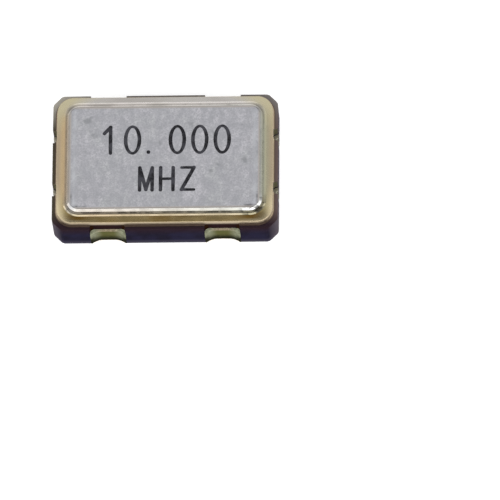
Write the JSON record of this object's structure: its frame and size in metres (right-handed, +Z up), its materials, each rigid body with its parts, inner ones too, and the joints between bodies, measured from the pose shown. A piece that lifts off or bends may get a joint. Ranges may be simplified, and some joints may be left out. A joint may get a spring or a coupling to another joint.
{
  "type": "crystal oscillator",
  "caption": "Surface-mount crystal oscillator: dark ceramic package with gold seal ring, welded nickel lid, castellated solder pads, and a quartz blank over its chip.",
  "frame": {"origin": "centre of the underside, level with the solder pads", "axes": "+X along the length, +Y across the width away from the keyed pad, +Z up through the lid"},
  "size_m": [0.005, 0.0032, 0.0011],
  "materials": {
    "ceramic": "matte dark co-fired alumina",
    "ring_gold": "satin gold plating",
    "braze": "pale gold-washed silver braze",
    "lid_nickel": "fine-grained nickel plating with polished weld edges",
    "pad_gold": "matte gold plating",
    "test_plating": "dull nickel plating",
    "inner_gold": "matte gold plating",
    "adhesive": "silver-filled adhesive",
    "silicon": "polished silicon",
    "chip_metal": "bright",
    "wire_gold": "bright gold",
    "quartz": "clear lapped quartz",
    "electrode_silver": "satin silver film"
  },
  "bodies": {
    "root": {"ceramic_base": "ceramic", "braze_joint": "braze", "seal_ring": "ring_gold", "lid": "lid_nickel", "terminal_1": "pad_gold", "terminal_2": "pad_gold", "terminal_3": "pad_gold", "terminal_4": "pad_gold", "test_terminal_1": "test_plating", "test_terminal_2": "test_plating", "test_terminal_3": "test_plating", "test_terminal_4": "test_plating", "die_land": "inner_gold", "die_attach": "adhesive", "oscillator_chip": "silicon", "chip_pads": "chip_metal", "bond_finger_1": "inner_gold", "bond_finger_2": "inner_gold", "bond_finger_3": "inner_gold", "bond_finger_4": "inner_gold", "bond_finger_5": "inner_gold", "bond_finger_6": "inner_gold", "bond_wire_1": "wire_gold", "bond_wire_2": "wire_gold", "bond_wire_3": "wire_gold", "bond_wire_4": "wire_gold", "bond_wire_5": "wire_gold", "bond_wire_6": "wire_gold", "crystal_land_1": "inner_gold", "crystal_land_2": "inner_gold", "adhesive_dot_1": "adhesive", "adhesive_dot_2": "adhesive", "quartz_blank": "quartz", "electrode_top": "electrode_silver", "electrode_bottom": "electrode_silver"}
  },
  "joints": []
}
